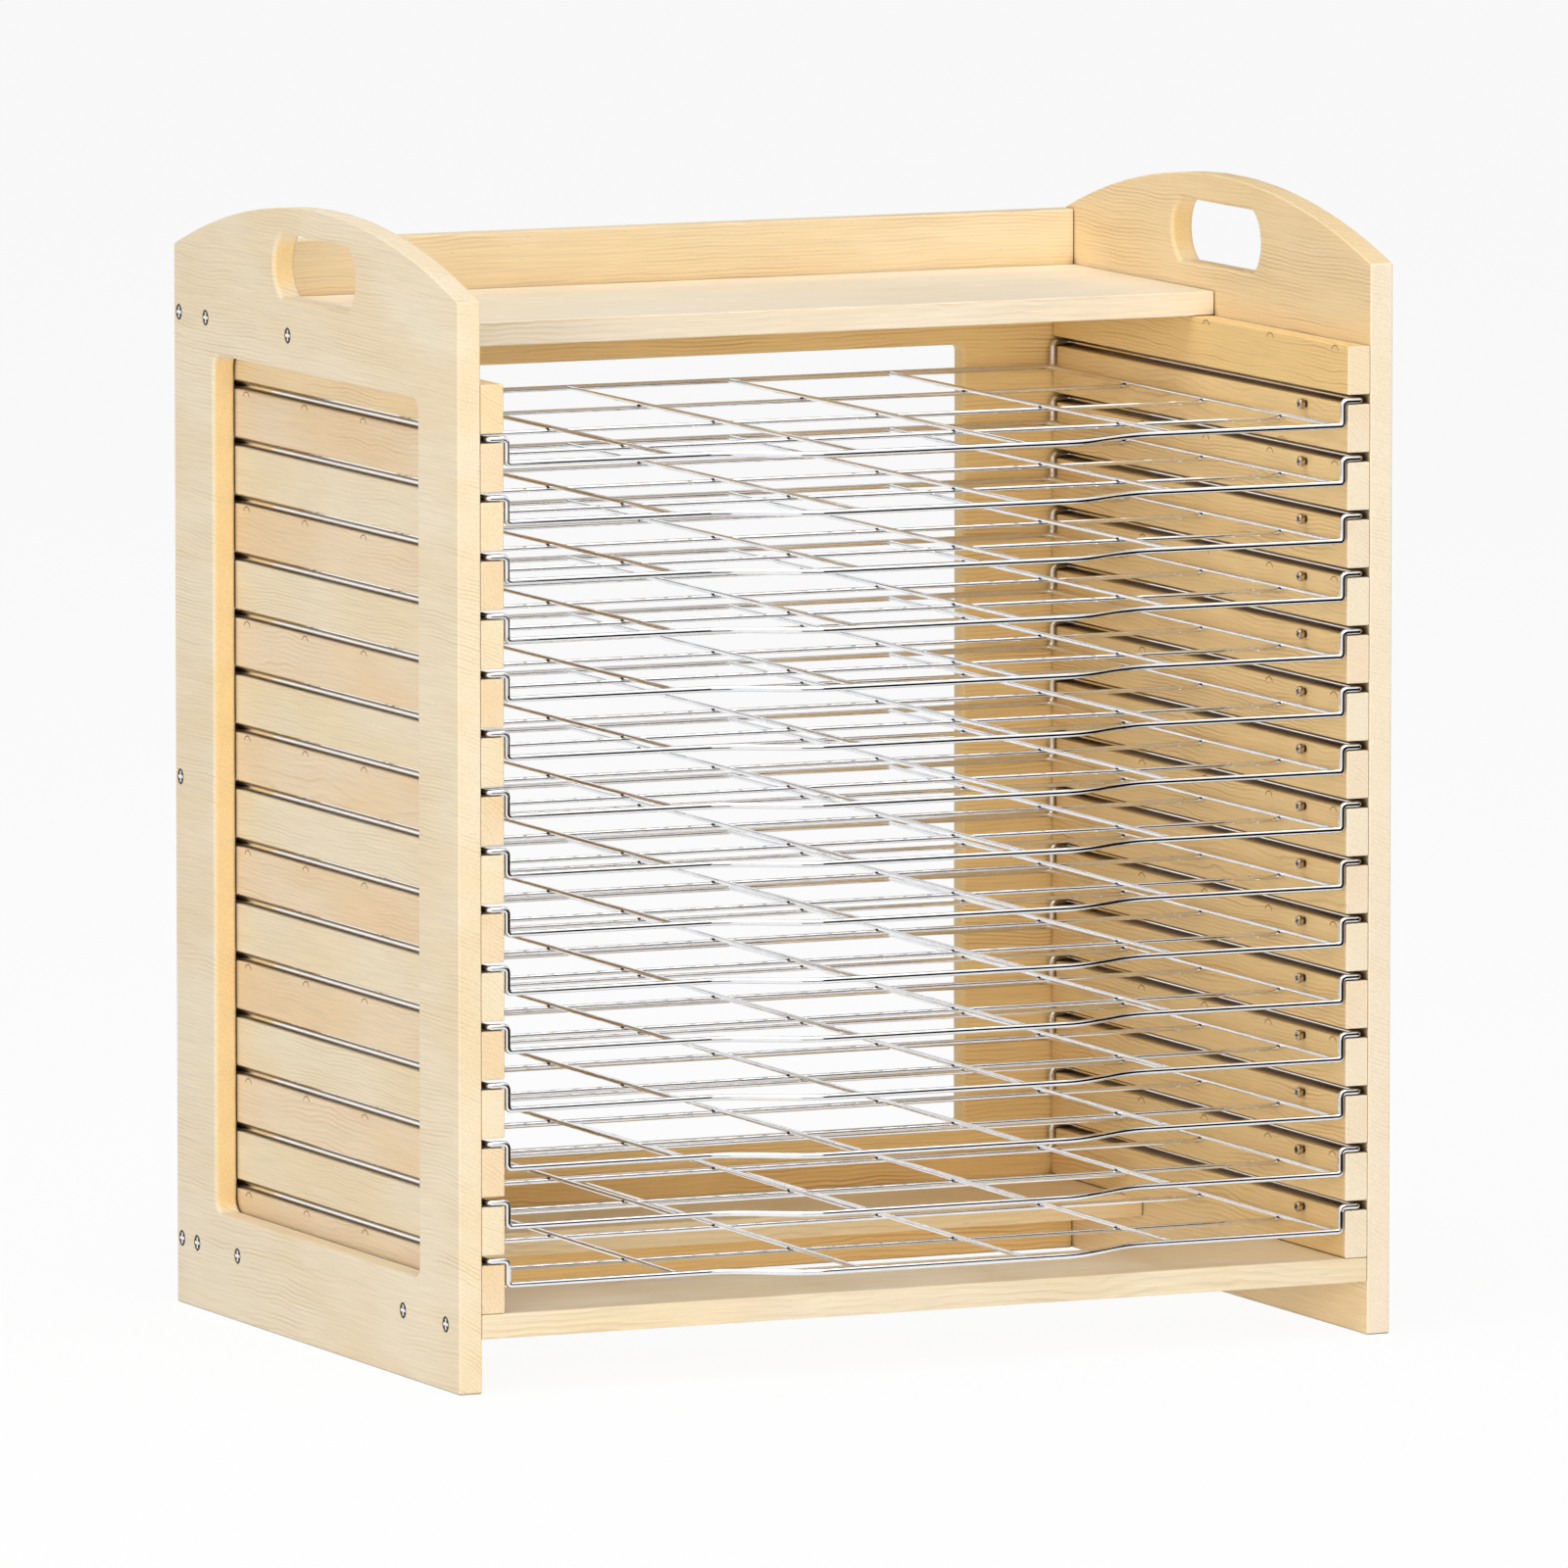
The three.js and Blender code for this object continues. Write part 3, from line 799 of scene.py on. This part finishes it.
wireTray = {
    "frameRadius": 1.6 * mm, "gridRadius": 1.2 * mm, "frameSides": 14, "gridSides": 10,
    "bend": 2.5 * mm, "footBend": 1.9 * mm, "bendSteps": 6, "drop": 12.8 * mm,
    "runningGap": 0.3 * mm, "railClearance": 2.7 * mm, "riserGap": 0.6 * mm, "rearGap": 3.4 * mm,
    "pullReach": 22 * mm, "pullWidth": 134 * mm, "pullBend": 57 * mm, "pullSteps": 16,
    "depthWires": 6, "edgeInset": 1.9 * mm, "crossWires": 3, "crossPitch": 94 * mm, "overhang": 1 * mm,
    "weldSink": 0.3 * mm, "endBead": (1.3 * mm, 0.9 * mm, 1.15 * mm), "endBeadGap": 0.1 * mm,
    "crossBead": (1.25 * mm, 1.25 * mm, 0.8 * mm), "crossBeadShift": 0.7 * mm,
}
trayCount = slatCount - 1


# the path's corners bent round; a corner that lies on a straight run is left out of this
def bentPath(corners, radii, steps):
    path = []
    count = len(corners)
    for i, radius in enumerate(radii):
        before, corner, after = corners[i - 1], corners[i], corners[(i + 1) % count]
        arriving, leaving = (corner - before).normalized(), (after - corner).normalized()
        turn = arriving.angle(leaving)
        if turn < 0.5:
            path.append(corner)
            continue
        reach = radius * math.tan(turn / 2)
        centre = corner - arriving * reach + (leaving - arriving * leaving.dot(arriving)).normalized() * radius
        spoke = corner - arriving * reach - centre
        axis = arriving.cross(leaving).normalized()
        for k in range(steps + 1):
            path.append(centre + Matrix.Rotation(turn * k / steps, 3, axis) @ spoke)
    return path


def pullPoint(share, s, straightY):
    swing = share * share * (3 - 2 * share)
    return s["pullWidth"] / 2 + s["pullBend"] * (1 - share), straightY - s["pullReach"] * swing


# one tray, with its wire plane at z = 0
def trayParts():
    s = wireTray
    parts = newParts()
    front = panelLow.y + s["frameRadius"]
    rear = backLow.y - s["rearGap"] - s["frameRadius"]
    railX = panelHigh.x * -1 - s["railClearance"] - s["frameRadius"]
    riserX = slatLow.x - s["riserGap"] - s["frameRadius"]
    pull = [pullPoint(k / s["pullSteps"], s, front) for k in range(s["pullSteps"] + 1)]
    leftPull = [Vector((-x, y, 0)) for x, y in pull]
    rightPull = [Vector((x, y, 0)) for x, y in reversed(pull)]
    corners = [Vector((-railX, front, s["drop"])), Vector((-riserX, front, s["drop"])), Vector((-riserX, front, 0))]
    mirrored = [Vector((-p.x, p.y, p.z)) for p in reversed(corners)]
    rearRow = [Vector((p.x, rear, p.z)) for p in reversed(corners + mirrored)]
    loop = corners + leftPull + rightPull + mirrored + rearRow
    feet = (corners[-1], mirrored[0])
    radii = [s["footBend"] if corner in feet else s["bend"] for corner in loop]
    addWire(parts, bentPath(loop, radii, s["bendSteps"]), s["frameRadius"], s["frameSides"], closed=True)

    def frontAt(x):
        reach = abs(x)
        for (x1, y1), (x0, y0) in zip(pull, pull[1:]):
            if x0 <= reach <= x1:
                return y0 + (y1 - y0) * (reach - x0) / (x1 - x0)
        return front if reach > pull[0][0] else pull[-1][1]

    edge = riserX - s["edgeInset"]
    depthPlaces = [edge * (2 * i / (s["depthWires"] - 1) - 1) for i in range(s["depthWires"])]
    for x in depthPlaces:
        start = Vector((x, frontAt(x), 0))
        addWire(parts, [start, Vector((x, rear, 0))], s["gridRadius"], s["gridSides"])
        for y, way in ((start.y, 1), (rear, -1)):
            spot = Vector((x, y + way * (s["frameRadius"] + s["endBeadGap"]), 0))
            addBead(parts, spot, s["endBead"])
    lower = s["weldSink"] - 2 * s["gridRadius"]
    for i in range(1, s["crossWires"] + 1):
        y = rear - i * s["crossPitch"]
        ends = [Vector((sign * (edge + s["overhang"] + s["gridRadius"]), y, lower)) for sign in (-1, 1)]
        addWire(parts, ends, s["gridRadius"], s["gridSides"])
        for x in depthPlaces:
            addBead(parts, Vector((x - s["crossBeadShift"], y, lower / 2)), s["crossBead"], 1)
    return parts


def makeTrays():
    parts = trayParts()
    data = None
    for number in range(1, trayCount + 1):
        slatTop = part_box(f"left_slat_{number + 1:02d}")[1].z
        plane = slatTop + wireTray["runningGap"] + wireTray["frameRadius"] - wireTray["drop"]
        place = Matrix.Translation((0, 0, plane))
        made = makeObject(f"wireTray{number:02d}", parts, [chromeWire, darkBeadAndScrewShade], place, data)
        data = made.data
        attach(made, f"tray_{number:02d}")
        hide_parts(f"wire_tray_{number:02d}")


makeTrays()
print("trays made:", trayCount)

photoCamera = {"azimuth": 24.529, "elevation": 6.721, "distance": 10.2853, "target": (-0.004534, -0.004, 0.282387),
               "focalPixels": 20183.5, "imagePixels": 1600}


def makeCamera():
    s = photoCamera
    camera = bpy.data.objects.new("photoCamera", bpy.data.cameras.new("photoCamera"))
    bpy.context.scene.collection.objects.link(camera)
    a, e = math.radians(s["azimuth"]), math.radians(s["elevation"])
    back = Vector((-math.sin(a) * math.cos(e), -math.cos(a) * math.cos(e), math.sin(e)))
    camera.location = Vector(s["target"]) + back * s["distance"]
    camera.rotation_euler = back.to_track_quat("Z", "Y").to_euler()
    camera.data.sensor_width = 36
    camera.data.lens = s["focalPixels"] * 36 / s["imagePixels"]
    camera.data.clip_end = 100
    bpy.context.scene.camera = camera


makeCamera()

studio = {
    "world": 0.12, "floorSize": 60, "floorGlow": 0.93, "floorBounce": 0.4,
    "lamps": [  # name, place, size, watts, and whether the chrome mirrors it
        ("topLamp", (-0.5, -0.9, 3.6), (4.2, 4.2), 126, True),
        ("keyLamp", (-2.9, -3.3, 0.95), (2.6, 1.4), 64, False),
        ("frontLamp", (-0.4, -4.4, 0.6), (2.6, 1.1), 31, False),
        ("leftLamp", (-3.8, 0.6, 1.4), (2.2, 2.2), 9, False),
    ],
    # bearings from the front towards the right, then radius and height of both edges
    "screens": [
        ("rightScreen", (5, 95), ((0.85, 0.08), (0.85, 0.62))),
        ("floorScreen", (-20, 100), ((0.6, 0.002), (2.6, 0.002))),
        ("rearScreen", (125, 155), ((4.0, 0.5), (4.0, 4.0))),
        ("leftRearScreen", (188, 206), ((2.1, 0.95), (2.1, 2.5))),
    ],
}


def seenDirectly(tree):
    path = tree.nodes.new("ShaderNodeLightPath").outputs
    seen = calc(tree, "MAXIMUM", path["Is Camera Ray"], path["Is Glossy Ray"])
    return calc(tree, "MAXIMUM", seen, path["Is Transmission Ray"])


def makeStudio():
    world = bpy.data.worlds.new("studioWorld")
    world.use_nodes = True
    bpy.context.scene.world = world
    tree = world.node_tree
    background = tree.nodes["Background"].inputs
    background["Color"].default_value = (1, 1, 1, 1)
    level = calc(tree, "MULTIPLY_ADD", seenDirectly(tree), 1 - studio["world"], studio["world"])
    feed(tree, background["Strength"], level)

    size = studio["floorSize"] / 2
    floorMesh = bpy.data.meshes.new("studioFloor")
    floorMesh.from_pydata([(-size, -size, 0), (size, -size, 0), (size, size, 0), (-size, size, 0)], [], [(0, 1, 2, 3)])
    floor = bpy.data.objects.new("studioFloor", floorMesh)
    bpy.context.scene.collection.objects.link(floor)
    material, tree, shader = newMaterial("paleFloor")
    shader["Base Color"].default_value = (0.93, 0.93, 0.93, 1)
    shader["Roughness"].default_value = 0.9
    shader["Specular IOR Level"].default_value = 0
    glow = tree.nodes.new("ShaderNodeEmission")
    glow.inputs["Strength"].default_value = 1
    mixed = tree.nodes.new("ShaderNodeMixShader")
    span = studio["floorGlow"] - studio["floorBounce"]
    feed(tree, mixed.inputs[0], calc(tree, "MULTIPLY_ADD", seenDirectly(tree), span, studio["floorBounce"]))
    tree.links.new(tree.nodes["Principled BSDF"].outputs[0], mixed.inputs[1])
    tree.links.new(glow.outputs[0], mixed.inputs[2])
    tree.links.new(mixed.outputs[0], tree.nodes["Material Output"].inputs["Surface"])
    floorMesh.materials.append(material)

    centre = (cadLow + cadHigh) / 2
    for name, spot, (width, height), power, mirrored in studio["lamps"]:
        lamp = bpy.data.lights.new(name, "AREA")
        lamp.shape = "RECTANGLE"
        lamp.size = width
        lamp.size_y = height
        lamp.energy = power
        made = bpy.data.objects.new(name, lamp)
        made.location = spot
        made.rotation_euler = (Vector(spot) - centre).to_track_quat("Z", "Y").to_euler()
        made.visible_glossy = mirrored
        bpy.context.scene.collection.objects.link(made)

    # dark curved screens that only the plated metal mirrors
    screenMaterial, _, shader = newMaterial("darkScreen")
    shader["Base Color"].default_value = (0.01, 0.01, 0.01, 1)
    shader["Roughness"].default_value = 1
    shader["Specular IOR Level"].default_value = 0
    for name, (first, last), edges in studio["screens"]:
        steps = 12
        points = []
        for k in range(steps + 1):
            bearing = math.radians(first + (last - first) * k / steps)
            points.extend((radius * math.sin(bearing), -radius * math.cos(bearing), z) for radius, z in edges)
        faces = [(2 * k, 2 * k + 2, 2 * k + 3, 2 * k + 1) for k in range(steps)]
        mesh = bpy.data.meshes.new(name)
        mesh.from_pydata(points, [], faces)
        mesh.materials.append(screenMaterial)
        screen = bpy.data.objects.new(name, mesh)
        for ray in ("camera", "diffuse", "shadow", "transmission", "volume_scatter"):
            setattr(screen, "visible_" + ray, False)
        bpy.context.scene.collection.objects.link(screen)


makeStudio()
bpy.context.scene.view_settings.view_transform = "Standard"
print("camera and studio set")
